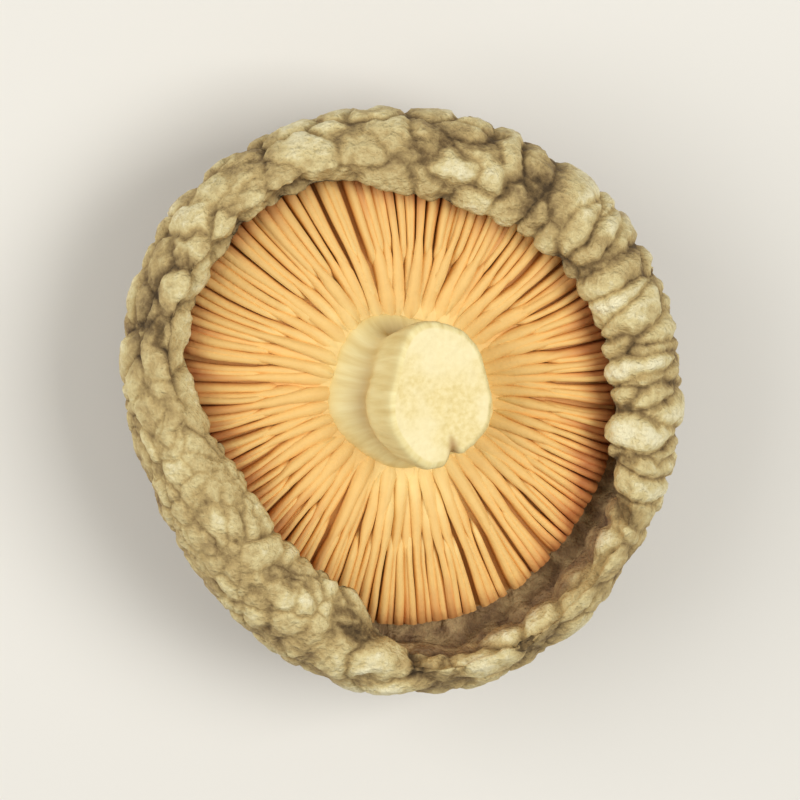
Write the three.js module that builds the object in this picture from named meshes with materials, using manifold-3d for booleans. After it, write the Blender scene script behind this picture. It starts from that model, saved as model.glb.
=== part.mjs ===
// A dried shiitake mushroom with its stem cut short, lying on its cap with the gills facing up.
// Millimetres, +Z up. The origin is the middle of the flat spot on the crown that the cap rests on.
import * as THREE from "three";
import { ParametricGeometry } from "three/addons/geometries/ParametricGeometry.js";
import { mergeVertices } from "three/addons/utils/BufferGeometryUtils.js";
import Module from "manifold-3d";

const wasm = await Module();
wasm.setup();

const { clamp, degToRad, lerp, smoothstep, seededRandom } = THREE.MathUtils;

// Cap: a thick bowl whose margin is rolled in over the ends of the gills
const CAP_RADIUS = 17.3; // mean, at the widest level
const CAP_WIDEST_Z = 8.6;
const CROWN_PRESS = 0.7; // how deep the crown is pressed flat where it rests
const RIM_TOP_Z = 13.8;
const BROW_RADIUS = 14.7; // where the rolled margin is highest
const LIP_RADIUS = 12.4; // where the rolled margin ends, over the gills
const LIP_Z = 12.5;
const THROAT_RADIUS = 14.4; // hollow under the lip
const THROAT_Z = 10.2;
const FLESH_AT_CENTRE = 9.35;
const FLESH_FALL = 1.25; // how much lower the flesh lies at the edge of the gills

// The margin is rolled in least on one side, where the hollow behind it shows
const OPEN_SIDE = degToRad(-58);
const OPEN_SETBACK = 2.4;

// Growth that was never quite round: swellings of the outline, and a rim that rises and falls
const OUTLINE_SWELLS = [
  { lobes: 1, crest: degToRad(82), swell: 0.45 },
  { lobes: 2, crest: degToRad(110), swell: 0.7 },
  { lobes: 3, crest: degToRad(31), swell: 0.42 },
];
const RIM_WAVES = [
  { lobes: 2, crest: degToRad(15), swell: 0.5 },
  { lobes: 3, crest: degToRad(100), swell: 0.4 },
];
const ROUND_WITHIN = 5; // the middle, round the stem, stays round
const FULL_LOBES_FROM = 14;
const STEM_OFFSET = new THREE.Vector2(0, 0.9); // the stem stands a little off the centre of the cap

// Skin: lumps with creases between them, one lump to each cell of a jittered grid
const LUMP_SPACING = 4.0;
const LUMP_HEIGHT = 1.0;
const LUMP_SLOPE = 0.5; // how far a lump rounds off towards its creases, as a share of the spacing
const LUMP_SEED = 41;

// Gills: blades of three lengths on one thin bed
const GILL_COUNT = 72;
const GILL_THICKNESS = 0.62;
const GILL_REACH = 13.3; // radius of the outer ends
const GILL_STARTS = [4.9, 10.2, 7.6, 10.2]; // inner radius of each blade in a repeating group of four
const GILL_EDGE_Z = 11.4; // height of the free edges
const GILL_EDGE_DROP = 0.8; // how much lower the edges are at the outer ends
const GILL_TIP = 0.2; // how far the inner ends stand above the bed
const GILL_BED = 0.9;
const GILL_ROOT = 0.4; // how far a blade is sunk in the bed
const GILL_SEED = 7;

// Stem: a short stub, cut across, leaning a little to one side
const STEM_BASE_RADIUS = 4.5;
const STEM_WAIST_RADIUS = 3.85;
const STEM_HEIGHT = 5.55;
const STEM_OVAL = 0.13; // longer along Y and shorter along X by this share
const STEM_LEAN = new THREE.Vector2(1.5, 0.4);
const STEM_CUT_SLOPE = 0.16; // the cut falls towards +X

// Clearance between the pieces, and mesh fineness
const GAP = 0.35;
const CAP_SEGMENTS = 132;
const SKIN_ROWS = 33;
const HOLLOW_ROWS = 12;
const GILL_BED_SEGMENTS = 72;
const STEM_SEGMENTS = 32;

const sumOf = (waves, theta) =>
  waves.reduce((sum, { lobes, crest, swell }) => sum + swell * Math.cos(lobes * (theta - crest)), 0);

// Height of the flesh that the gills grow on
const fleshZ = (r) => FLESH_AT_CENTRE - FLESH_FALL * (r / GILL_REACH) ** 4;

// Carries a point of a perfectly round mushroom to its place on the grown one
function grow(r, theta, z, target) {
  const outward = smoothstep(r, ROUND_WITHIN, FULL_LOBES_FROM);
  const grown = r * (1 + (outward * sumOf(OUTLINE_SWELLS, theta)) / CAP_RADIUS);
  const lift = ((outward * z) / RIM_TOP_Z) * sumOf(RIM_WAVES, theta);
  const x = grown * Math.cos(theta) + (1 - outward) * STEM_OFFSET.x;
  const y = grown * Math.sin(theta) + (1 - outward) * STEM_OFFSET.y;
  return target.set(x, y, z + lift);
}

// The same geometry with one vertex for each place, as a closed surface needs
function welded(geometry) {
  geometry.deleteAttribute("normal");
  geometry.deleteAttribute("uv");
  return mergeVertices(geometry, 1e-4);
}

function solidOf(geometry) {
  const closed = welded(geometry);
  return new wasm.Manifold(
    new wasm.Mesh({
      numProp: 3,
      vertProperties: closed.attributes.position.array,
      triVerts: new Uint32Array(closed.index.array),
    }),
  );
}

function geometryOf(solid) {
  const { vertProperties, triVerts } = solid.getMesh();
  return new THREE.BufferGeometry()
    .setAttribute("position", new THREE.BufferAttribute(vertProperties, 3))
    .setIndex(new THREE.BufferAttribute(triVerts, 1));
}

function moveVertices(geometry, move) {
  const position = geometry.attributes.position;
  const point = new THREE.Vector3();
  for (let i = 0; i < position.count; i++) {
    move(point.fromBufferAttribute(position, i));
    position.setXYZ(i, point.x, point.y, point.z);
  }
  return geometry;
}

// How far the skin stands out at a point: most in the middle of a cell, and sunk at its border
function lumpHeight(point) {
  const cell = point.clone().divideScalar(LUMP_SPACING);
  const home = cell.clone().floor();
  const centre = new THREE.Vector3();
  let nearest = Infinity;
  let second = Infinity;
  for (let n = 0; n < 27; n++) {
    const x = home.x + (n % 3) - 1;
    const y = home.y + (Math.floor(n / 3) % 3) - 1;
    const z = home.z + Math.floor(n / 9) - 1;
    const jitter = seededRandom(LUMP_SEED + 7919 * x + 104729 * y + 1299709 * z);
    centre.set(x + jitter, y + seededRandom(), z + seededRandom());
    const distance = centre.distanceTo(cell);
    second = Math.min(second, Math.max(nearest, distance));
    nearest = Math.min(nearest, distance);
  }
  return LUMP_HEIGHT * (smoothstep(second - nearest, 0, LUMP_SLOPE) - 0.5);
}

// How far the lip stands back at an angle
const setbackAt = (theta) => OPEN_SETBACK * smoothstep(Math.cos(theta - OPEN_SIDE), 0.62, 0.97);

// Half section of the cap's outside, from the crown to the lip
function skinSection(theta) {
  const setback = setbackAt(theta);
  return new THREE.SplineCurve([
    new THREE.Vector2(0, -CROWN_PRESS),
    new THREE.Vector2(0.38 * CAP_RADIUS, 0.4 - CROWN_PRESS),
    new THREE.Vector2(0.67 * CAP_RADIUS, 0.2 * CAP_WIDEST_Z),
    new THREE.Vector2(0.89 * CAP_RADIUS, 0.55 * CAP_WIDEST_Z),
    new THREE.Vector2(CAP_RADIUS, CAP_WIDEST_Z),
    new THREE.Vector2(0.965 * CAP_RADIUS, lerp(CAP_WIDEST_Z, RIM_TOP_Z, 0.68)),
    new THREE.Vector2(BROW_RADIUS + 0.3 * setback, RIM_TOP_Z),
    new THREE.Vector2(lerp(LIP_RADIUS, BROW_RADIUS, 0.3) + setback, lerp(LIP_Z, RIM_TOP_Z, 0.6)),
    new THREE.Vector2(LIP_RADIUS + setback, LIP_Z),
  ]);
}

// Half section of the cap's inside, from the lip to the middle of the flesh
function hollowSection(theta) {
  const setback = setbackAt(theta);
  const seat = GILL_REACH + 0.6;
  return new THREE.SplineCurve([
    new THREE.Vector2(LIP_RADIUS + setback, LIP_Z),
    new THREE.Vector2(lerp(LIP_RADIUS + setback, THROAT_RADIUS, 0.5), lerp(LIP_Z, THROAT_Z, 0.35)),
    new THREE.Vector2(THROAT_RADIUS, THROAT_Z),
    new THREE.Vector2(seat, fleshZ(seat)),
    new THREE.Vector2(0.8 * GILL_REACH, fleshZ(0.8 * GILL_REACH)),
    new THREE.Vector2(0.5 * GILL_REACH, fleshZ(0.5 * GILL_REACH)),
    new THREE.Vector2(0, FLESH_AT_CENTRE),
  ]);
}

// The points of the cap at one angle, from the crown over the lip to the middle of the flesh
function capColumn(theta) {
  const skin = skinSection(theta);
  const hollow = hollowSection(theta);
  const column = [];
  for (let row = 0; row <= SKIN_ROWS; row++) {
    const t = row / SKIN_ROWS;
    const place = skin.getPointAt(t);
    const tangent = skin.getTangentAt(t);
    const wrinkled = smoothstep(t, 0, 0.15) * (1 - smoothstep(t, 0.9, 1));
    const raised = wrinkled * lumpHeight(grow(place.x, theta, place.y, new THREE.Vector3()));
    place.set(place.x + raised * tangent.y, place.y - raised * tangent.x);
    const point = grow(place.x, theta, place.y, new THREE.Vector3());
    point.z = Math.max(point.z, 0);
    column.push(point);
  }
  for (let row = 1; row <= HOLLOW_ROWS; row++) {
    const place = hollow.getPointAt(row / HOLLOW_ROWS);
    column.push(grow(place.x, theta, place.y, new THREE.Vector3()));
  }
  return column;
}

function capGeometry() {
  const rows = SKIN_ROWS + HOLLOW_ROWS;
  const columns = [];
  for (let i = 0; i < CAP_SEGMENTS; i++) {
    columns.push(capColumn((2 * Math.PI * i) / CAP_SEGMENTS));
  }
  const surface = (u, v, target) =>
    target.copy(columns[Math.round(u * CAP_SEGMENTS) % CAP_SEGMENTS][Math.round(v * rows)]);
  return welded(new ParametricGeometry(surface, CAP_SEGMENTS, rows));
}

// One gill, standing on the bed and pointing along +X
function bladeGeometry(start, end, edgeZ) {
  const shape = new THREE.Shape();
  const bedTop = (r) => fleshZ(r) + GAP + GILL_BED;
  const middle = lerp(start, end, 0.55);
  shape.moveTo(start, bedTop(start) - GILL_ROOT);
  shape.lineTo(end, bedTop(end) - GILL_ROOT);
  shape.lineTo(end, edgeZ - GILL_EDGE_DROP);
  shape.quadraticCurveTo(lerp(middle, end, 0.7), edgeZ, middle, edgeZ);
  shape.quadraticCurveTo(lerp(start, middle, 0.5), edgeZ, start, bedTop(start) + GILL_TIP);
  shape.closePath();
  const blade = new THREE.ExtrudeGeometry(shape, {
    depth: GILL_THICKNESS,
    bevelEnabled: false,
    curveSegments: 3,
  });
  return blade.translate(0, 0, -GILL_THICKNESS / 2).rotateX(Math.PI / 2);
}

function gillBedGeometry() {
  const radii = [GILL_STARTS[0] - 0.05, 7.7, 10.5, GILL_REACH];
  const under = radii.map((r) => new THREE.Vector2(r, fleshZ(r) + GAP));
  const over = radii.map((r) => new THREE.Vector2(r, fleshZ(r) + GAP + GILL_BED));
  const section = [...under, ...over.reverse(), under[0].clone()];
  return new THREE.LatheGeometry(section, GILL_BED_SEGMENTS).rotateX(Math.PI / 2);
}

function gillsGeometry() {
  let gills = solidOf(gillBedGeometry());
  seededRandom(GILL_SEED);
  for (let i = 0; i < GILL_COUNT; i++) {
    const start = GILL_STARTS[i % GILL_STARTS.length] + 0.6 * seededRandom();
    const edgeZ = GILL_EDGE_Z + 0.4 * (seededRandom() - 0.5);
    const turn = (2 * Math.PI * (i + 0.3 * (seededRandom() - 0.5))) / GILL_COUNT;
    const end = GILL_REACH - 0.3 - 0.1 * setbackAt(turn);
    gills = gills.add(solidOf(bladeGeometry(start, end, edgeZ).rotateZ(turn)));
  }
  return moveVertices(geometryOf(gills), (point) =>
    grow(Math.hypot(point.x, point.y), Math.atan2(point.y, point.x), point.z, point),
  );
}

// The stem about its own axis, with its foot at the origin
function stemGeometry() {
  const section = [
    new THREE.Vector2(0, 0),
    new THREE.Vector2(0.95 * STEM_BASE_RADIUS, 0.05),
    new THREE.Vector2(STEM_BASE_RADIUS, 0.12 * STEM_HEIGHT),
    new THREE.Vector2(1.07 * STEM_WAIST_RADIUS, 0.4 * STEM_HEIGHT),
    new THREE.Vector2(STEM_WAIST_RADIUS, 0.7 * STEM_HEIGHT),
    new THREE.Vector2(0.98 * STEM_WAIST_RADIUS, 0.93 * STEM_HEIGHT),
    new THREE.Vector2(0.86 * STEM_WAIST_RADIUS, STEM_HEIGHT),
    new THREE.Vector2(0, 1.01 * STEM_HEIGHT),
  ];
  const stem = welded(new THREE.LatheGeometry(section, STEM_SEGMENTS).rotateX(Math.PI / 2));
  return moveVertices(stem, (point) => {
    const up = clamp(point.z / STEM_HEIGHT, 0, 1);
    const oval = STEM_OVAL * smoothstep(up, 0.3, 1);
    point.z -= STEM_CUT_SLOPE * point.x * smoothstep(up, 0.7, 1);
    point.x = point.x * (1 - oval) + STEM_LEAN.x * up ** 1.5;
    point.y = point.y * (1 + oval) + STEM_LEAN.y * up ** 1.5;
  });
}

function piece(name, geometry, color, roughness) {
  const mesh = new THREE.Mesh(geometry, new THREE.MeshStandardMaterial({ color, roughness, metalness: 0 }));
  mesh.name = name;
  return mesh;
}

const cap = piece("cap", capGeometry(), 0x8f7650, 0.85);
const gills = piece("gills", gillsGeometry(), 0xdda04c, 0.75);
const stem = piece("stem", stemGeometry(), 0xefe0a6, 0.7);
stem.position.set(STEM_OFFSET.x, STEM_OFFSET.y, FLESH_AT_CENTRE + GAP);

const mushroom = new THREE.Group();
mushroom.add(cap, gills, stem);

export default mushroom;
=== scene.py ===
# %% [markdown]
# # A dried shiitake mushroom, gills up
# The mushroom lies on the crown of its cap, as one does on a plate, so that its gills and its cut
# stem face the viewer. It has three pieces to model: the cap, a thick lumpy bowl of dried flesh; the
# gills, thin blades that stand on the flesh inside the bowl; and the stub of the stem. The packed
# solids give the place and the size of each one, and this script grows a finer piece around each.

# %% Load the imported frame
import math

import bpy
import numpy as np
from mathutils import Matrix, Vector


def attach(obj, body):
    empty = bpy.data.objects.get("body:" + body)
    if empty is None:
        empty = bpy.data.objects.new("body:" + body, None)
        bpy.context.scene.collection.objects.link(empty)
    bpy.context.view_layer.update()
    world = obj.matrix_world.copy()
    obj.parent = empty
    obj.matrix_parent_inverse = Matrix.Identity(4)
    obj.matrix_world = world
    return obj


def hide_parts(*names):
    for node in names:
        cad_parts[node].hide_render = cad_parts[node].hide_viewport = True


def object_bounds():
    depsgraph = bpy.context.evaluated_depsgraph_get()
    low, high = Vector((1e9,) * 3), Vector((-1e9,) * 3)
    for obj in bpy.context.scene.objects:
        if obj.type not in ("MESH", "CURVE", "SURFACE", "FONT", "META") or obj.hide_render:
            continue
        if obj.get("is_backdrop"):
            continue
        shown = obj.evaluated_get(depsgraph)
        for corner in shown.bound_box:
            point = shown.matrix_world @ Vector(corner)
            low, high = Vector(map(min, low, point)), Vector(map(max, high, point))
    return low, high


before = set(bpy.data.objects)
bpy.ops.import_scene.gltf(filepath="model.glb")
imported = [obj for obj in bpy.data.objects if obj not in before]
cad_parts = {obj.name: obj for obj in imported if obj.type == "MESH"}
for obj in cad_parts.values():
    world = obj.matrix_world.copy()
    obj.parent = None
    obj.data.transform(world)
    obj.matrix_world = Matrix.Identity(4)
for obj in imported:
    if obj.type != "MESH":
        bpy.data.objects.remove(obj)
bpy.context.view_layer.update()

MM = 0.001

# %% [markdown]
# ## A shorthand for node trees
# Every finish here is a tree of nodes, and so is the relief of the skin. Adding a node takes three
# lines of Python: make it, set its options, link or fill its inputs. A small class with one method for
# that keeps the trees below short enough to read as formulas.

# %% Adding nodes
class Nodes:
    """Adds nodes to one tree. An input takes a plain value, or the output of another node."""

    def __init__(self, tree):
        self.tree = tree

    def add(self, kind, inputs, output=0, **options):
        node = self.tree.nodes.new(kind)
        for name, option in options.items():
            setattr(node, name, option)
        for key, value in inputs.items():
            if isinstance(value, bpy.types.NodeSocket):
                self.tree.links.new(value, node.inputs[key])
            else:
                node.inputs[key].default_value = value
        return node.outputs[output]

    def math(self, operation, *values):
        return self.add("ShaderNodeMath", dict(enumerate(values)), operation=operation)

    def vector(self, operation, *values):
        return self.add("ShaderNodeVectorMath", dict(enumerate(values)), operation=operation)

    def scaled(self, vector, factor):
        return self.add("ShaderNodeVectorMath", {0: vector, 3: factor}, operation="SCALE")

    def dot(self, a, b):
        return self.add("ShaderNodeVectorMath", {0: a, 1: b}, output=1, operation="DOT_PRODUCT")

    def step(self, value, low, high):
        """Rises smoothly from 0 at low to 1 at high."""
        inputs = {"Value": value, "From Min": low, "From Max": high}
        return self.add("ShaderNodeMapRange", inputs, interpolation_type="SMOOTHSTEP")

    def mix(self, factor, a, b):
        return self.add("ShaderNodeMix", {0: factor, 2: a, 3: b})

    def tint(self, factor, a, b, blend="MIX"):
        inputs = {0: factor, 6: a, 7: b}
        return self.add("ShaderNodeMix", inputs, output=2, data_type="RGBA", blend_type=blend)

    def noise(self, vector, scale, detail=2.0, output=0, **options):
        inputs = {"Vector": vector, "Scale": scale, "Detail": detail}
        return self.add("ShaderNodeTexNoise", inputs, output=output, **options)

    def cells(self, vector, feature, output):
        return self.add("ShaderNodeTexVoronoi", {"Vector": vector, "Scale": 1.0}, output, feature=feature)

    def join(self, x, y, z):
        return self.add("ShaderNodeCombineXYZ", {0: x, 1: y, 2: z})

    def split(self, vector, axis):
        return self.add("ShaderNodeSeparateXYZ", {0: vector}, output=axis)


# %% Starting a geometry tree, and keeping its outcome
def new_tree(name, sizes):
    """A Geometry Nodes tree with a named input for each size."""
    tree = bpy.data.node_groups.new(name, "GeometryNodeTree")
    tree.interface.new_socket("Geometry", in_out="INPUT", socket_type="NodeSocketGeometry")
    tree.interface.new_socket("Geometry", in_out="OUTPUT", socket_type="NodeSocketGeometry")
    for title, value in sizes.items():
        kind = "NodeSocketInt" if isinstance(value, int) else "NodeSocketFloat"
        tree.interface.new_socket(title, in_out="INPUT", socket_type=kind)
    given = tree.nodes.new("NodeGroupInput").outputs
    result = tree.nodes.new("NodeGroupOutput").inputs[0]
    return Nodes(tree), given, result


def keep_outcome(piece, tree, sizes):
    """Runs the tree on the piece with these sizes, and keeps the outcome as a plain mesh."""
    modifier = piece.modifiers.new(tree.name, "NODES")
    modifier.node_group = tree
    for socket in tree.interface.items_tree:
        if socket.in_out == "INPUT" and socket.name in sizes:
            modifier[socket.identifier] = sizes[socket.name]
    depsgraph = bpy.context.evaluated_depsgraph_get()
    grown_piece = piece.evaluated_get(depsgraph)
    mesh = bpy.data.meshes.new_from_object(grown_piece, preserve_all_data_layers=True, depsgraph=depsgraph)
    piece.modifiers.clear()
    piece.data = mesh
    print(f"{piece.name}: {len(mesh.vertices)} points, {len(mesh.polygons)} faces")


def finish_tree(nodes, geometry, result, material):
    """Ends a tree the way the export needs it: real geometry that carries its material."""
    geometry = nodes.add("GeometryNodeRealizeInstances", {0: geometry})
    geometry = nodes.add("GeometryNodeSetMaterial", {"Geometry": geometry, "Material": material})
    nodes.tree.links.new(geometry, result)


# %% Starting a material
def new_material(name, roughness):
    """A material with a Principled shader, its nodes, the shader and the piece's own coordinates in mm."""
    material = bpy.data.materials.new(name)
    material.use_nodes = True
    nodes = Nodes(material.node_tree)
    shader = material.node_tree.nodes["Principled BSDF"]
    shader.inputs["Roughness"].default_value = roughness
    place = nodes.add("ShaderNodeTexCoord", {}, output="Object")
    return material, nodes, shader, nodes.scaled(place, 1 / MM)


def colour(hexcode):
    """A screen colour such as "c8a060" as the linear colour that a shader takes."""
    shares = [int(hexcode[i:i + 2], 16) / 255 for i in (0, 2, 4)]
    return [s / 12.92 if s <= 0.04045 else ((s + 0.055) / 1.055) ** 2.4 for s in shares] + [1.0]


def painted(nodes, name):
    """A value that the geometry tree left on the surface."""
    return nodes.add("ShaderNodeAttribute", {}, output="Fac", attribute_name=name)


# %% [markdown]
# ## How the mushroom grew
# A mushroom starts as a body of revolution and then grows unevenly. So each piece is first thought of
# as round, in terms of a radius, an angle and a height, and one function then carries every point to its
# place: it swells the outline in a few lobes, makes the rim rise and fall, and moves the middle off
# centre with the stem. The same function serves the cap and the gills, so they always fit.

# %% Driving sizes, in millimetres
CAP_RADIUS = 17.3
CAP_WIDEST_Z = 8.6
RIM_TOP_Z = 13.8
GILL_REACH = 13.3
OUTLINE_SWELLS = [(1, 82, 0.45), (2, 110, 0.7), (3, 31, 0.42)]
RIM_WAVES = [(2, 15, 0.5), (3, 100, 0.4)]
STEM_OFFSET = np.array([0.0, 0.9])


def smoothstep(x, low, high):
    t = np.clip((x - low) / (high - low), 0, 1)
    return t * t * (3 - 2 * t)


def sum_of(waves, theta):
    return sum(swell * np.cos(lobes * (theta - math.radians(crest))) for lobes, crest, swell in waves)


def grown(r, theta, z):
    """Carries points of a perfectly round mushroom to their places on the grown one, in metres."""
    outward = smoothstep(r, 5, 14)
    radius = r * (1 + outward * sum_of(OUTLINE_SWELLS, theta) / CAP_RADIUS)
    x = radius * np.cos(theta) + (1 - outward) * STEM_OFFSET[0]
    y = radius * np.sin(theta) + (1 - outward) * STEM_OFFSET[1]
    lift = outward * z / RIM_TOP_Z * sum_of(RIM_WAVES, theta)
    return np.stack([x, y, z + lift], axis=-1) * MM


# %% [markdown]
# ## The cap: a half section turned round
# On the real mushroom the cap is one mass of flesh. Its skin runs from the crown on the table, up round
# the side, over the rolled-in margin and down to the lip; from there the inside of the margin runs down
# to the flesh that the gills stand on. A sculpted blob would do for one view, but a half section swept
# round the axis gives clean rings of faces that follow the form. The section changes with the angle,
# because the margin isn't rolled in alike all round: at one side it stands back from a dark hollow, at one
# corner the gills reach further out under it, and at another side it is rolled in more.

# %% Half section of the cap at one angle
CROWN_PRESS = 0.7
BROW_RADIUS = 14.7
LIP_RADIUS, LIP_Z = 12.4, 12.5
THROAT_RADIUS, THROAT_Z = 14.4, 10.2
OPEN_SIDE, OPEN_SETBACK = -58, 2.4
CORNER_SIDE, CORNER_SETBACK = 137, 1.7
ROLLED_SIDE, ROLLED_IN = 227, 0.9
FLESH_AT_CENTRE, FLESH_FALL = 9.35, 1.25
SKIN_ROWS = np.interp(np.linspace(0, 1, 146), [0, 0.22, 1], [0, 0.4, 1])
HOLLOW_ROWS = np.linspace(0, 1, 45)


def flesh_z(r):
    return FLESH_AT_CENTRE - FLESH_FALL * (r / GILL_REACH) ** 4


def towards(theta, degrees, end):
    """1 in one direction, and 0 where the cosine of the angle from it is below the end."""
    return smoothstep(np.cos(theta - math.radians(degrees)), end, 0.97)


def setback_at(theta):
    return OPEN_SETBACK * towards(theta, OPEN_SIDE, 0.62)


def corner_at(theta):
    return CORNER_SETBACK * towards(theta, CORNER_SIDE, 0.6)


def smooth_line(points, shares):
    """Points of a smooth curve through a few given ones, at these shares of its length."""
    p = np.array([points[0], *points, points[-1]], float)
    t = np.linspace(0, 1, 24)[:, None]
    dense = [
        p[i] + 0.5 * t * (p[i + 1] - p[i - 1]
        + t * (2 * p[i - 1] - 5 * p[i] + 4 * p[i + 1] - p[i + 2]
        + t * (3 * (p[i] - p[i + 1]) + p[i + 2] - p[i - 1])))
        for i in range(1, len(p) - 2)
    ]
    dense = np.concatenate(dense)
    walked = np.concatenate([[0], np.cumsum(np.linalg.norm(np.diff(dense, axis=0), axis=1))])
    return np.stack([np.interp(shares * walked[-1], walked, dense[:, k]) for k in (0, 1)], axis=-1)


def cap_section(theta):
    corner = corner_at(theta)
    back = setback_at(theta) + corner - ROLLED_IN * towards(theta, ROLLED_SIDE, 0.7)
    throat = THROAT_RADIUS + 0.5 * corner
    seat = GILL_REACH + 0.6 + 0.5 * corner
    lip = (LIP_RADIUS + back, LIP_Z)
    skin = [
        (0, -CROWN_PRESS), (0.38 * CAP_RADIUS, 0.4 - CROWN_PRESS), (0.67 * CAP_RADIUS, 0.2 * CAP_WIDEST_Z),
        (0.89 * CAP_RADIUS, 0.55 * CAP_WIDEST_Z), (CAP_RADIUS, CAP_WIDEST_Z),
        (0.965 * CAP_RADIUS, CAP_WIDEST_Z + 0.68 * (RIM_TOP_Z - CAP_WIDEST_Z)),
        (BROW_RADIUS + 0.3 * back, RIM_TOP_Z), (LIP_RADIUS + 0.7 + back, LIP_Z + 0.8), lip,
    ]
    hollow = [
        lip, ((lip[0] + throat) / 2, LIP_Z + 0.35 * (THROAT_Z - LIP_Z)), (throat, THROAT_Z),
        (seat + 0.1, flesh_z(GILL_REACH) + 0.8), (0.8 * GILL_REACH, flesh_z(0.8 * GILL_REACH)),
        (0.5 * GILL_REACH, flesh_z(0.5 * GILL_REACH)), (0, FLESH_AT_CENTRE),
    ]
    return np.concatenate([smooth_line(skin, SKIN_ROWS), smooth_line(hollow, HOLLOW_ROWS)[1:]])


# %% Knit rings of points into a closed mesh
def knit(name, rings, loop=False, **attributes):
    """A closed mesh from rings of points. Its first and last rings are single points, or meet in a loop."""
    rows, columns = rings.shape[:2]
    inner = slice(None) if loop else slice(1, -1)
    ring = np.arange(rows * columns).reshape(rows, columns)[inner] - (0 if loop else columns - 1)
    after = np.roll(ring, -1, axis=1)
    faces = np.stack([ring[:-1], after[:-1], after[1:], ring[1:]], axis=-1).reshape(-1, 4).tolist()
    if loop:
        faces += np.stack([ring[-1], after[-1], after[0], ring[0]], axis=-1).tolist()
    else:
        last = int(ring[-1, -1]) + 1
        faces += np.stack([0 * ring[0], after[0], ring[0]], axis=-1).tolist()
        faces += np.stack([0 * ring[-1] + last, ring[-1], after[-1]], axis=-1).tolist()

    def listed(grid):
        flat = grid[inner].reshape(-1, *grid.shape[2:])
        return flat if loop else np.concatenate([grid[:1, 0], flat, grid[-1:, 0]])

    mesh = bpy.data.meshes.new(name)
    mesh.from_pydata(listed(rings).tolist(), [], faces)
    mesh.polygons.foreach_set("use_smooth", np.ones(len(faces), bool))
    for title, values in attributes.items():
        values = listed(np.broadcast_to(values, (rows, columns)))
        mesh.attributes.new(title, "FLOAT", "POINT").data.foreach_set("value", values)
    piece = bpy.data.objects.new(name, mesh)
    bpy.context.scene.collection.objects.link(piece)
    return piece


CAP_COLUMNS = 500
angles = np.linspace(0, 2 * math.pi, CAP_COLUMNS, endpoint=False)
sections = np.stack([cap_section(a) for a in angles], axis=1)
rings = grown(sections[..., 0], angles[None, :], sections[..., 1])
along = np.concatenate([SKIN_ROWS, 1 + HOLLOW_ROWS[1:]])
cap = knit("mushroom_cap", rings, along=along[:, None])
print("cap before its relief:", len(cap.data.vertices), "points")

# %% [markdown]
# ## Lumps, pleats and wrinkles
# As the cap dried it shrank, and its skin drew up into rounded lumps with sharp creases between them. A
# Voronoi pattern has just that build: each cell is a lump, and its border is a crease. Four of them are
# blended, because the lumps are long pleats on one side of the rim, small pebbles on another, coarse in
# most places and broad plates under the crown. The pattern is a function that can be added to any tree: the
# geometry tree raises the skin by it, and the material paints shade into the creases and a highlight on the
# lump tops by it, so the two agree.

# %% Sizes of the pattern
skin_sizes = {
    "Lump Size": 3.0 * MM, "Lump Height": 0.8 * MM, "Pleat Width": 2.2 * MM,
    "Wrinkle Size": 1.4 * MM, "Wrinkle Height": 0.3 * MM, "Seed": 4.0,
}


def facing(nodes, outward, degrees, low, high):
    """Where the surface lies towards one direction, from 0 below low to 1 above high."""
    angle = math.radians(degrees)
    cosine = nodes.dot(outward, (math.cos(angle), math.sin(angle), 0.0))
    return nodes.step(cosine, low, high)


# %% The pattern of the skin
def skin_pattern(nodes, place, along, sizes):
    """Crease, dome, tone and depth of the lumps at a place on the smooth cap, and where its rim is."""
    lumps = nodes.scaled(place, nodes.math("DIVIDE", 1.0, sizes["Lump Size"]))
    lumps = nodes.vector("ADD", lumps, nodes.join(sizes["Seed"], 0.0, 0.0))
    depth = nodes.step(nodes.noise(lumps, 0.6, 2.0), 0.3, 0.6)
    warp = nodes.vector("SUBTRACT", nodes.noise(lumps, 0.8, 3.0, output=1), (0.5, 0.5, 0.5))
    lumps = nodes.vector("ADD", lumps, nodes.scaled(warp, 1.2))

    outward = nodes.vector("NORMALIZE", nodes.vector("MULTIPLY", place, (1.0, 1.0, 0.0)))
    pleats = nodes.scaled(outward, nodes.math("DIVIDE", CAP_RADIUS * MM, sizes["Pleat Width"]))
    pleats = nodes.vector("ADD", pleats, nodes.join(0.0, 0.0, nodes.math("MULTIPLY", along, 4.0)))
    pleats = nodes.vector("ADD", pleats, nodes.scaled(warp, 0.9))

    rim = nodes.step(along, 0.5, 0.62)
    is_pleated = facing(nodes, outward, 20, 0.64, 0.67)
    is_pebbled = facing(nodes, outward, 212, 0.8, 0.84)
    kinds = []
    for cells in (nodes.scaled(lumps, 0.75), lumps, nodes.scaled(lumps, 1.7), pleats):
        border = nodes.cells(cells, "DISTANCE_TO_EDGE", "Distance")
        middle = nodes.cells(cells, "F1", "Distance")
        hollow = nodes.math("MULTIPLY", nodes.math("MULTIPLY", middle, middle), 1.3)
        dome = nodes.math("SUBTRACT", 1.0, nodes.math("MINIMUM", hollow, 0.7))
        kinds.append((border, dome, nodes.split(nodes.cells(cells, "F1", "Color"), 0)))
    blended = []
    for on_plates, on_lumps, on_pebbles, on_pleats in zip(*kinds):
        on_rim = nodes.mix(is_pebbled, on_lumps, on_pebbles)
        blended.append(nodes.mix(rim, on_plates, nodes.mix(is_pleated, on_rim, on_pleats)))
    border, dome, tone = blended
    depth = nodes.math("MULTIPLY", nodes.mix(depth, 0.35, 1.1), nodes.mix(is_pebbled, 1.0, 0.6))
    depth = nodes.math("MAXIMUM", depth, nodes.math("MULTIPLY", is_pleated, 0.95))
    return border, dome, tone, depth, rim


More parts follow.
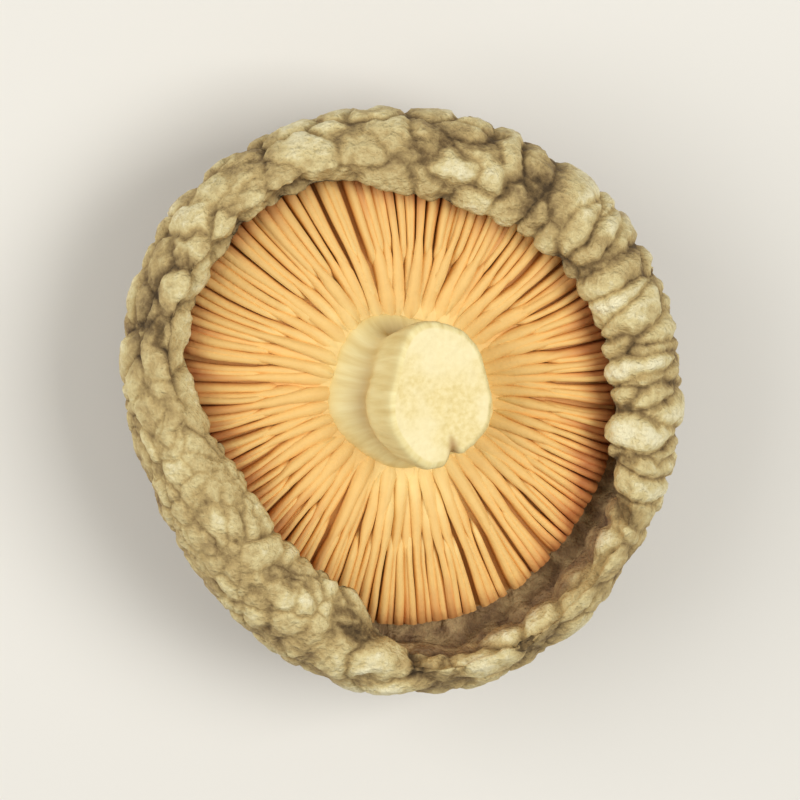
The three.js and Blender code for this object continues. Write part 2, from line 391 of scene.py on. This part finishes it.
def skin_wrinkles(nodes, place, sizes):
    """Narrow ridges, highest where a noise passes through its middle."""
    wrinkles = nodes.scaled(place, nodes.math("DIVIDE", 1.0, sizes["Wrinkle Size"]))
    swing = nodes.math("SUBTRACT", nodes.noise(wrinkles, 1.0, 4.0), 0.5)
    return nodes.math("SUBTRACT", 0.6, nodes.math("MULTIPLY", nodes.math("ABSOLUTE", swing), 4.5))


# %% [markdown]
# ## The finish of the cap
# Dried shiitake skin is matt and leathery. On the rolled margin the lumps are tan, painted paler on their
# tops and wrinkle crests as a painted highlight and dark brown in the creases between them as painted shade;
# towards the crown the skin turns to a darker brown. The lumps will be raised later, so the material asks
# for the place that each point had on the smooth cap, which the geometry tree leaves on the surface. Inside
# the margin, below the lip, the flesh is a plain duller brown, its own colour darkened further with painted
# shade of the hollow.

# %% Creases and mottling
cap_skin, nodes, shader, place = new_material("dried_cap_skin", 0.8)
along = painted(nodes, "along")
rest = nodes.add("ShaderNodeAttribute", {}, output="Vector", attribute_name="rest")
border, dome, tone, depth, _ = skin_pattern(nodes, rest, along, skin_sizes)
ridge = skin_wrinkles(nodes, rest, skin_sizes)
crease = nodes.step(border, 0.0, 0.14)
mottle = nodes.noise(place, 0.9, 5.0)
# Painted highlight and painted shade: lump domes and wrinkle crests lighter, creases darker, on top of the
# random mottle and tone.
lit = nodes.math("ADD", nodes.math("MULTIPLY", dome, 0.7), nodes.math("MULTIPLY", crease, 0.3))
shade = nodes.mix(depth, 0.6, nodes.math("SUBTRACT", lit, 0.08))
fine = nodes.noise(place, 4.0, 5.0)
for value, share in ((mottle, 0.5), (tone, 0.16), (ridge, 0.2), (fine, 0.35)):
    shade = nodes.math("MULTIPLY_ADD", nodes.math("SUBTRACT", value, 0.5), share, shade)


def ramp(nodes, value, stops):
    """A colour that runs through the given stops as the value rises."""
    output = nodes.add("ShaderNodeValToRGB", {0: value})
    elements = output.node.color_ramp.elements
    while len(elements) < len(stops):
        elements.new(0.5)
    for element, (place, hexcode) in zip(elements, stops):
        element.position = place
        element.color = colour(hexcode)
    return output


# %% Colours of the cap
# The pale end of the margin ramp is the painted highlight on the lump tops, the dark end the painted shade
# in the creases.
margin_stops = [(0.0, "4b391e"), (0.2, "7c643c"), (0.52, "bea46c"), (0.74, "dac890"), (0.97, "f0e6bd")]
margin = ramp(nodes, shade, margin_stops)
crown = ramp(nodes, shade, [(0.0, "2b1c10"), (0.25, "573d25"), (0.55, "85643f"), (0.9, "bb9a6e")])
# The inside of the margin is its own duller brown, darkened further with painted shade of the hollow.
inside = ramp(nodes, mottle, [(0.3, "70553a"), (0.5, "9a7d55"), (0.7, "c5aa78")])
up_the_side = nodes.math("MULTIPLY_ADD", nodes.math("SUBTRACT", mottle, 0.5), 0.5, along)
skin_colour = nodes.tint(nodes.step(up_the_side, 0.5, 0.82), crown, margin)
skin_colour = nodes.tint(nodes.step(along, 0.98, 1.06), skin_colour, inside)
nodes.tree.links.new(skin_colour, shader.inputs["Base Color"])
nodes.tree.links.new(nodes.mix(crease, 0.92, 0.72), shader.inputs["Roughness"])
crazed = nodes.vector("ADD", nodes.scaled(place, 1.1), nodes.noise(place, 1.5, 2.0, output=1))
crackle = nodes.cells(crazed, "F1", "Distance")
rough = nodes.math("MULTIPLY_ADD", crackle, -0.9, fine)
bump = nodes.add("ShaderNodeBump", {"Strength": 1.0, "Distance": 0.25 * MM, "Height": rough})
nodes.tree.links.new(bump, shader.inputs["Normal"])
print("cap material:", len(nodes.tree.nodes), "nodes")

# %% [markdown]
# ## Raise the skin
# Bump alone would leave the outline smooth, so a geometry tree moves the points themselves, along their
# normals. It keeps the place that each point had as the attribute `rest`, and presses the crown flat on
# the table. The pattern is highest on the lumps and lowest in the creases, and fades out below the lip.

# %% Relief tree of the skin
nodes, given, result = new_tree("Cap skin", skin_sizes)
position = nodes.add("GeometryNodeInputPosition", {})
along = nodes.add("GeometryNodeInputNamedAttribute", {"Name": "along"}, data_type="FLOAT")
border, dome, _, depth, rim = skin_pattern(nodes, position, along, given)
crease = nodes.step(border, 0.0, 0.2)
lump = nodes.math("ADD", nodes.math("MULTIPLY", dome, 0.6), nodes.math("MULTIPLY", crease, 0.4))
lump_height = nodes.math("MULTIPLY", depth, given["Lump Height"])
lump = nodes.math("MULTIPLY", nodes.math("SUBTRACT", lump, 0.7), lump_height)
folds = nodes.math("MULTIPLY", skin_wrinkles(nodes, position, given), given["Wrinkle Height"])
folds = nodes.math("MULTIPLY", folds, nodes.mix(rim, 1.0, 0.6))
on_skin = nodes.mix(nodes.step(along, 1.3, 1.45), 1.0, 0.1)
raised = nodes.math("MULTIPLY", nodes.math("ADD", lump, folds), on_skin)

# %% Keep the smooth place, raise the skin, press the crown flat
kept_place = {"Geometry": given[0], "Name": "rest", "Value": position}
skin = nodes.add("GeometryNodeStoreNamedAttribute", kept_place, data_type="FLOAT_VECTOR")
offset = nodes.scaled(nodes.add("GeometryNodeInputNormal", {}), raised)
skin = nodes.add("GeometryNodeSetPosition", {"Geometry": skin, "Offset": offset})
pressed = nodes.math("MAXIMUM", nodes.split(position, 2), 0.0)
pressed = nodes.join(nodes.split(position, 0), nodes.split(position, 1), pressed)
skin = nodes.add("GeometryNodeSetPosition", {"Geometry": skin, "Position": pressed})
finish_tree(nodes, skin, result, cap_skin)
keep_outcome(cap, nodes.tree, skin_sizes)

# %% [markdown]
# ## The finish of the gills
# Dried gills are golden orange, paler round the stem and rusty at their outer ends. Deep in the slits they
# are darkened with painted shade, on one side also with the painted shade of the rim, and on others
# lightened with painted light. Each blade carries three attributes from the tree that makes it: how far
# along it a point is, how high, and a number of its own, so that no two blades have quite the same colour.

# %% Gill material
gill, nodes, shader, place = new_material("dried_gill", 0.7)
reach, height, own = (painted(nodes, name) for name in ("reach", "height", "own"))
streak = nodes.noise(nodes.vector("MULTIPLY", place, (1.0, 1.0, 0.3)), 1.6, 4.0)
patch = nodes.noise(place, 0.16, 2.0)
where = nodes.math("MULTIPLY_ADD", nodes.math("SUBTRACT", patch, 0.5), 0.5, reach)
where = nodes.math("MULTIPLY_ADD", nodes.math("SUBTRACT", own, 0.5), 0.12, where)
outward = nodes.vector("NORMALIZE", nodes.vector("MULTIPLY", place, (1.0, 1.0, 0.0)))
rays = nodes.noise(nodes.scaled(outward, 14.0), 1.0, 3.0)
where = nodes.math("MULTIPLY_ADD", nodes.math("SUBTRACT", rays, 0.5), 0.4, where)
# Towards 5 degrees the gills are darker with painted shade cast by the rim, towards 130 and -85 degrees
# paler with painted light; towards 222 degrees their outer ends are rustier, and towards 180 a little
# darker.
for degrees, rust_and_painted_light in ((222, 0.15), (5, 0.15), (180, 0.05), (130, -0.12), (-85, -0.15)):
    where = nodes.math("MULTIPLY_ADD", facing(nodes, outward, degrees, 0.75, 1.0), rust_and_painted_light, where)
gold_stops = [(0.0, "f6da92"), (0.2, "efc87c"), (0.7, "f2c678"), (0.88, "dfa05c"), (1.0, "b96b36")]
gold = ramp(nodes, where, gold_stops)
gold = nodes.tint(nodes.math("MULTIPLY", streak, 0.4), gold, colour("dda75c"))
# Painted shade: the colour darkens towards the foot of each blade, deep in the slits.
gold = nodes.tint(nodes.step(height, 0.7, 0.1), gold, colour("d69e58"))
nodes.tree.links.new(gold, shader.inputs["Base Color"])
grain = nodes.noise(place, 4.0, 3.0)
bump = nodes.add("ShaderNodeBump", {"Strength": 0.4, "Distance": 0.1 * MM, "Height": grain})
nodes.tree.links.new(bump, shader.inputs["Normal"])
print("gill material:", len(nodes.tree.nodes), "nodes")

# %% [markdown]
# ## The gills: one blade, repeated round the stem
# The gills grow out of a thin bed on the flesh, which is a flat ring here, with its two sides knitted into
# a loop. A shiitake has well over a hundred of them, in lengths that alternate: long ones from the stem to
# the margin, and shorter ones that fill the widening gaps. An array modifier would repeat one shape exactly.
# A geometry tree instead places a simple slab for each gill, gives each its own numbers, and then bends
# every slab by formula: radius from its length, height from the edge line, and a sideways sway. The slab
# has only a few dozen faces, because it is repeated so often.

# %% The bed
BED_FOOT, BED_THICKNESS, BED_INNER = 0.35, 0.9, 4.4
over = np.linspace(GILL_REACH, BED_INNER, 40)
under = over[::-3]
bed_r = np.concatenate([under, over])[:, None]
bed_lift = np.repeat([BED_FOOT, BED_FOOT + BED_THICKNESS], [len(under), len(over)])
bed_z = flesh_z(bed_r) + bed_lift[:, None]
turns = np.linspace(0, 2 * math.pi, 180, endpoint=False)[None, :]
bed_rings = np.stack(np.broadcast_arrays(bed_r * np.cos(turns), bed_r * np.sin(turns), bed_z), axis=-1) * MM
# The bed's height value falls towards the outside, so that the painted slit shade also darkens the bed
# between the outer blades.
gills = knit(
    "mushroom_gills", bed_rings, loop=True, own=0.5, reach=(bed_r - BED_INNER) / (GILL_REACH - BED_INNER),
    height=0.9 - 0.65 * smoothstep(bed_r, 5.5, 9.5),
)
print("bed of the gills:", len(gills.data.vertices), "points")

# %% Numbers for each blade
gill_sizes = {
    "Blades": 168, "Fill": 1.18, "Long Start": 3.6 * MM, "Middle Start": 5.2 * MM, "Short Start": 8.0 * MM,
    "Reach": GILL_REACH * MM, "Edge Height": 11.35 * MM, "Sway": 0.6 * MM, "Seed": 11,
}
nodes, given, result = new_tree("Gills", gill_sizes)
points = nodes.add("GeometryNodePoints", {"Count": given["Blades"]})
number = nodes.add("GeometryNodeInputIndex", {})


def drawn(low, high, salt):
    """A number for each blade, drawn at random between two limits."""
    seed = nodes.math("ADD", given["Seed"], float(salt))
    inputs = {2: low, 3: high, "ID": number, "Seed": seed}
    return nodes.add("FunctionNodeRandomValue", inputs, output=1, data_type="FLOAT")


in_four = nodes.math("FLOORED_MODULO", number, 4.0)
is_long = nodes.math("COMPARE", in_four, 0.0, 0.1)
is_middle = nodes.math("COMPARE", in_four, 2.0, 0.1)
start = nodes.mix(is_middle, given["Short Start"], given["Middle Start"])
start = nodes.mix(is_long, start, given["Long Start"])
start = nodes.math("ADD", start, drawn(-0.3 * MM, 0.6 * MM, 1))
turn = nodes.math("DIVIDE", nodes.math("ADD", number, drawn(-0.35, 0.35, 2)), given["Blades"])
blade_numbers = {
    "start": start, "turn": nodes.math("MULTIPLY", turn, 2 * math.pi), "lean": drawn(-1.0, 1.0, 3),
    "own": drawn(0.0, 1.0, 4), "stand": drawn(-0.3 * MM, 0.2 * MM, 5),
}
for title, value in blade_numbers.items():
    inputs = {"Geometry": points, "Name": title, "Value": value}
    points = nodes.add("GeometryNodeStoreNamedAttribute", inputs, data_type="FLOAT")

# %% One slab for each blade
slab_inputs = {"Size": (1.0, 1.0, 1.0), "Vertices X": 9, "Vertices Y": 3, "Vertices Z": 3}
slab = nodes.add("GeometryNodeMeshCube", slab_inputs)
blades = nodes.add("GeometryNodeInstanceOnPoints", {"Points": points, "Instance": slab})
blades = nodes.add("GeometryNodeRealizeInstances", {0: blades})
position = nodes.add("GeometryNodeInputPosition", {})
reach, side, height = (nodes.split(position, axis) for axis in range(3))
reach = nodes.math("ADD", reach, 0.5)
height = nodes.math("ADD", height, 0.5)
for title, value in (("reach", reach), ("height", height)):
    inputs = {"Geometry": blades, "Name": title, "Value": value}
    blades = nodes.add("GeometryNodeStoreNamedAttribute", inputs, data_type="FLOAT")

# %% Bend every slab into its gill
EDGE_CREST, EDGE_BEND, EDGE_WAVE, EDGE_ROUNDING = 0.65, 7.0, 0.7, 0.9
ROOT_SINK = 0.3


def kept(name):
    """A value that is stored on the points, in the tree being built."""
    return nodes.add("GeometryNodeInputNamedAttribute", {"Name": name}, data_type="FLOAT")


radius = nodes.mix(kept("reach"), kept("start"), given["Reach"])
along_edge = nodes.math("DIVIDE", radius, given["Reach"])
wave_turn = nodes.math("MULTIPLY", kept("turn"), 9.0)
wave_place = nodes.join(nodes.math("MULTIPLY", along_edge, 2.2), wave_turn, 0.0)
wave = nodes.math("SUBTRACT", nodes.noise(wave_place, 1.0, 1.0), 0.5)
from_crest = nodes.math("SUBTRACT", along_edge, EDGE_CREST)
fall = nodes.math("MULTIPLY", nodes.math("MULTIPLY", from_crest, from_crest), EDGE_BEND * MM)
edge = nodes.math("ADD", nodes.math("SUBTRACT", given["Edge Height"], fall), kept("stand"))
edge = nodes.math("ADD", edge, nodes.math("MULTIPLY", wave, EDGE_WAVE * MM))
bed_top = (FLESH_AT_CENTRE + BED_FOOT + BED_THICKNESS) * MM
bed_top = nodes.math("MULTIPLY_ADD", nodes.math("POWER", along_edge, 4.0), -FLESH_FALL * MM, bed_top)
edge = nodes.mix(nodes.step(kept("reach"), -0.06, 0.26), bed_top, edge)
round_edge = nodes.math("MULTIPLY", nodes.math("MULTIPLY", side, side), EDGE_ROUNDING * MM)
root = nodes.math("SUBTRACT", bed_top, ROOT_SINK * MM)
z = nodes.mix(kept("height"), root, nodes.math("SUBTRACT", edge, round_edge))

# %% Sideways: width, sway and lean
EDGE_LEAN = 0.14
more = nodes.step(radius, given["Middle Start"], nodes.math("ADD", given["Middle Start"], 1.5 * MM))
most = nodes.step(radius, given["Short Start"], nodes.math("ADD", given["Short Start"], 1.5 * MM))
crowd = nodes.math("ADD", nodes.math("ADD", 1.0, more), nodes.math("MULTIPLY", most, 2.0))
blades_here = nodes.math("MULTIPLY", nodes.math("DIVIDE", crowd, 4.0), given["Blades"])
pitch = nodes.math("DIVIDE", nodes.math("MULTIPLY", radius, 2 * math.pi), blades_here)
fill = nodes.math("MULTIPLY", given["Fill"], nodes.mix(kept("own"), 0.85, 1.15))
fill = nodes.math("MULTIPLY", fill, nodes.mix(nodes.step(radius, 5.0 * MM, 9.0 * MM), 1.3, 1.0))
width = nodes.math("MULTIPLY", pitch, fill)
taper = nodes.math("MULTIPLY", nodes.step(kept("reach"), -0.12, 0.2), nodes.mix(kept("height"), 1.1, 0.85))
across = nodes.math("MULTIPLY", nodes.math("MULTIPLY", side, width), taper)
sway = nodes.math("MULTIPLY", wave, given["Sway"])
lean = nodes.math("MULTIPLY", nodes.math("MULTIPLY", kept("lean"), kept("height")), EDGE_LEAN * MM)
across = nodes.math("ADD", nodes.math("ADD", across, sway), lean)
angle = nodes.math("ADD", kept("turn"), nodes.math("DIVIDE", across, radius))
bent = nodes.join(
    nodes.math("MULTIPLY", radius, nodes.math("COSINE", angle)),
    nodes.math("MULTIPLY", radius, nodes.math("SINE", angle)),
    z,
)
blades = nodes.add("GeometryNodeSetPosition", {"Geometry": blades, "Position": bent})
blades = nodes.add("GeometryNodeSetShadeSmooth", {"Geometry": blades, "Shade Smooth": True})
both = nodes.tree.nodes.new("GeometryNodeJoinGeometry")
for geometry in (given[0], blades):
    nodes.tree.links.new(geometry, both.inputs[0])
finish_tree(nodes, both.outputs[0], result, gill)

# %% Run the tree, then let the round gills grow with the cap
keep_outcome(gills, nodes.tree, gill_sizes)
corners = np.empty(3 * len(gills.data.vertices), np.float32)
gills.data.vertices.foreach_get("co", corners)
x, y, z = corners.reshape(-1, 3).T / MM
theta = np.arctan2(y, x)
r = np.hypot(x, y)
pulled = r + (0.5 * corner_at(theta) - 0.1 * setback_at(theta)) * smoothstep(r, 8, 13)
gills.data.vertices.foreach_set("co", grown(pulled, theta, z).astype(np.float32).ravel())
gills.data.update()

# %% [markdown]
# ## The finish of the stem
# The stem is tough, pale and stringy: cream, with long fibres down its side and a paler cut face where it
# was sliced off. The cut face is marked by an attribute, because its fibres are seen end on there and show
# as dots rather than streaks. Another attribute marks the fold, the tear and the nick, where the flank is
# darkened with painted shade.

# %% Stem material
stem_flesh, nodes, shader, place = new_material("dried_stem_flesh", 0.65)
cut, rise, worn, east, north = (painted(nodes, n) for n in ("cut", "rise", "worn", "east", "north"))
strings = nodes.noise(nodes.join(east, north, rise), 2.2, 4.0)
dots = nodes.noise(place, 3.2, 3.0)
cream = ramp(nodes, strings, [(0.3, "dcc685"), (0.5, "e7d597"), (0.7, "f0e2a8")])
cream = nodes.tint(nodes.step(rise, 0.3, 0.05), cream, colour("ead086"))
face = ramp(nodes, dots, [(0.3, "dfc987"), (0.5, "e9d596"), (0.7, "f0dfa6")])
bright = nodes.math("MULTIPLY", nodes.step(nodes.noise(place, 0.3, 2.0), 0.4, 0.62), 0.65)
face = nodes.tint(bright, face, colour("f4e7b8"))
# Painted shade darkens the fold, the tear and the nick.
flesh = nodes.tint(worn, nodes.tint(cut, cream, face), colour("a57c44"))
nodes.tree.links.new(flesh, shader.inputs["Base Color"])
grain = nodes.mix(cut, strings, dots)
bump = nodes.add("ShaderNodeBump", {"Strength": 0.4, "Distance": 0.1 * MM, "Height": grain})
nodes.tree.links.new(bump, shader.inputs["Normal"])
print("stem material:", len(nodes.tree.nodes), "nodes")

# %% [markdown]
# ## The stem: a leaning stub, cut across
# The stub widens at its foot, where it passes into the flesh of the cap, and leans to one side. Rings of
# points are stacked up its axis and drawn in over the cut face. A fold runs across the flank that it leans
# away from, the foot tore free of the gills at one place, and the cut face has a nick in its edge. Each of
# these is a dip in the radius, strongest in one direction and at one height.

# %% Half section of the stem
STEM_BASE_RADIUS, STEM_WAIST_RADIUS, STEM_HEIGHT = 4.5, 3.85, 5.55
STEM_FOOT_Z = FLESH_AT_CENTRE + 0.35
STEM_LEAN = np.array([1.5, 0.4])
STEM_COLUMNS, FLANK_ROWS, FACE_ROWS = 160, 70, 30
flank = smooth_line([
    (0.9 * STEM_BASE_RADIUS, 0.0), (1.02 * STEM_BASE_RADIUS, 0.1 * STEM_HEIGHT),
    (1.06 * STEM_BASE_RADIUS, 0.17 * STEM_HEIGHT), (1.07 * STEM_WAIST_RADIUS, 0.4 * STEM_HEIGHT),
    (STEM_WAIST_RADIUS, 0.7 * STEM_HEIGHT), (0.98 * STEM_WAIST_RADIUS, 0.94 * STEM_HEIGHT),
    (0.9 * STEM_WAIST_RADIUS, STEM_HEIGHT),
], np.linspace(0, 1, FLANK_ROWS))
face_radii = np.linspace(0.9 * STEM_WAIST_RADIUS, 0, FACE_ROWS + 1)[1:]
face = np.stack([face_radii, np.full(FACE_ROWS, STEM_HEIGHT)], axis=-1)
section = np.concatenate([[(0.0, 0.0)], flank, face])
angles = np.linspace(0, 2 * math.pi, STEM_COLUMNS, endpoint=False)[None, :]
r, h = section[:, :1], section[:, 1:]
up = h / STEM_HEIGHT


# %% Lobes, fold, tear and nick
FOLD_DEPTH, TEAR_DEPTH, NICK_DEPTH = 0.15, 0.28, 0.14
STEM_OVAL, CUT_SLOPE = 0.17, 0.16


def notch(direction, width):
    """A dip round one direction, 1 in its middle and 0 beyond its width, both in degrees."""
    away = np.degrees(np.abs((angles - math.radians(direction) + math.pi) % (2 * math.pi) - math.pi))
    return 1 - smoothstep(away, 0, width)


above_bed = smoothstep(up, 0.15, 0.35)
fold = notch(188, 95) * np.exp(-((up - 0.48) / 0.12) ** 2)
tear = notch(98, 30) * above_bed * (1 - smoothstep(up, 0.5, 0.85))
nick = notch(-72, 13) * smoothstep(up, 0.5, 0.9)
near_edge = smoothstep(r, 0.6 * STEM_WAIST_RADIUS, 0.9 * STEM_WAIST_RADIUS)
# How much painted shade falls in the fold, the tear and the nick.
worn = np.clip(0.55 * fold + 0.7 * tear + 0.9 * nick * near_edge, 0, 1)
r = r * (1 + 0.04 * np.cos(3 * angles + 0.6) + 0.03 * np.cos(5 * angles + 2.0))
r = r * (1 + 0.06 * (1 - above_bed) * np.cos(2 * angles + 0.9))
r = r * (1 - FOLD_DEPTH * fold - TEAR_DEPTH * tear - NICK_DEPTH * nick)
print("stem radius in mm:", round(float(r.max()), 2), "at the foot")

# %% Lean the rings over and knit them
oval = STEM_OVAL * smoothstep(up, 0.3, 1)
x, y = r * np.cos(angles), r * np.sin(angles)
z = h - CUT_SLOPE * x * smoothstep(up, 0.7, 1)
x = x * (1 - oval) + STEM_OFFSET[0] + STEM_LEAN[0] * up ** 1.5
y = y * (1 + oval) + STEM_OFFSET[1] + STEM_LEAN[1] * up ** 1.5
rings = np.stack([x, y, z + STEM_FOOT_Z + 0 * x], axis=-1) * MM
is_cut = np.concatenate([np.zeros(1 + FLANK_ROWS), np.ones(FACE_ROWS)])
stem = knit(
    "mushroom_stem", rings, cut=is_cut[:, None], rise=up, worn=worn,
    east=STEM_WAIST_RADIUS * np.cos(angles), north=STEM_WAIST_RADIUS * np.sin(angles),
)
print("stem before its fibres:", len(stem.data.vertices), "points")

# %% [markdown]
# ## Fibres on the stem
# The fibres are too fine to draw one by one, so a noise raises them. On the flank it is read at the place
# that a point would have on an upright round stem, so the fibres follow the lean and the fold. The cut face
# gets the noise at its real place, as the rough ends of the same fibres.

# %% Relief tree of the stem
fibre_sizes = {"Fibre Width": 0.4 * MM, "Fibre Height": 0.22 * MM, "Cut Roughness": 0.1 * MM, "Seed": 2.0}
nodes, given, result = new_tree("Stem fibres", fibre_sizes)
position = nodes.add("GeometryNodeInputPosition", {})
per_fibre = nodes.math("DIVIDE", 1.0, given["Fibre Width"])
seed_shift = nodes.join(given["Seed"], 0.0, 0.0)
upright = nodes.scaled(nodes.join(kept("east"), kept("north"), kept("rise")), MM)
strings = nodes.noise(nodes.vector("ADD", nodes.scaled(upright, per_fibre), seed_shift), 0.7, 3.0)
ends = nodes.noise(nodes.vector("ADD", nodes.scaled(position, per_fibre), seed_shift), 0.5, 3.0)
on_flank = nodes.math("MULTIPLY", nodes.math("SUBTRACT", strings, 0.5), given["Fibre Height"])
on_cut = nodes.math("MULTIPLY", nodes.math("SUBTRACT", ends, 0.5), given["Cut Roughness"])
offset = nodes.scaled(nodes.add("GeometryNodeInputNormal", {}), nodes.mix(kept("cut"), on_flank, on_cut))
fibres = nodes.add("GeometryNodeSetPosition", {"Geometry": given[0], "Offset": offset})
finish_tree(nodes, fibres, result, stem_flesh)
keep_outcome(stem, nodes.tree, fibre_sizes)

# %% [markdown]
# ## Tie the pieces to the frame
# Each piece stands for one solid of the imported model and moves with its only body. The solids stay
# hidden underneath.

# %% Replace the solids
for piece, node, slot in ((cap, "cap", "cap_skin"), (gills, "gills", "gill"), (stem, "stem", "stem_flesh")):
    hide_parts(node)
    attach(piece, "root")
    print(piece.name, "stands for", node)

# %% [markdown]
# ## Floor, light and camera
# The floor is a plain pale sheet. A large soft light stands to the right, with a weaker one opposite and
# an even grey all round, so that every side can be judged. The camera looks down on the gills, tipped a
# little to the upper left, with a long lens that keeps the shape free of perspective.

# %% Floor
floor = bpy.data.objects.new("floor", bpy.data.meshes.new("floor"))
floor.data.from_pydata([(-1, -1, 0), (1, -1, 0), (1, 1, 0), (-1, 1, 0)], [], [(0, 1, 2, 3)])
pale, nodes, shader, place = new_material("pale_floor", 0.9)
shader.inputs["Base Color"].default_value = colour("e3e0d8")
floor.data.materials.append(pale)
bpy.context.scene.collection.objects.link(floor)
floor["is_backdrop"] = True

# %% Lights
def soft_light(name, place, width, power):
    """A square light that faces the mushroom."""
    light = bpy.data.lights.new(name, "AREA")
    light.size = width
    light.energy = power
    lamp = bpy.data.objects.new(name, light)
    lamp.location = place
    lamp.rotation_euler = (-lamp.location).to_track_quat("-Z", "Y").to_euler()
    bpy.context.scene.collection.objects.link(lamp)


soft_light("key", Vector((0.15, 0.02, 0.28)), 0.16, 0.58)
soft_light("fill", Vector((-0.22, 0.04, 0.18)), 0.25, 0.5)
world = bpy.data.worlds.new("studio")
world.use_nodes = True
world.node_tree.nodes["Background"].inputs["Color"].default_value = colour("f4f2ee")
world.node_tree.nodes["Background"].inputs["Strength"].default_value = 0.4
bpy.context.scene.world = world

# %% Camera
TILT = math.radians(10)
TILT_TOWARDS = math.radians(135)
SHARE_OF_FRAME = 0.74
lens = bpy.data.cameras.new("camera")
lens.lens, lens.sensor_width = 200, 36
low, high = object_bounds()
width = max(high.x - low.x, high.y - low.y) / SHARE_OF_FRAME
sideways = math.sin(TILT)
away = Vector((sideways * math.cos(TILT_TOWARDS), sideways * math.sin(TILT_TOWARDS), math.cos(TILT)))
right = Vector((0, 1, 0)).cross(away).normalized()
camera = bpy.data.objects.new("camera", lens)
camera.matrix_world = Matrix((right, away.cross(right), away)).transposed().to_4x4()
camera.location = (low + high) / 2 + away * (width * lens.lens / lens.sensor_width)
lens.clip_start, lens.clip_end = 0.01, 10
bpy.context.scene.collection.objects.link(camera)
bpy.context.scene.camera = camera
bpy.context.scene.view_settings.view_transform = "Standard"
print("camera stands", round(camera.location.length, 3), "m away")
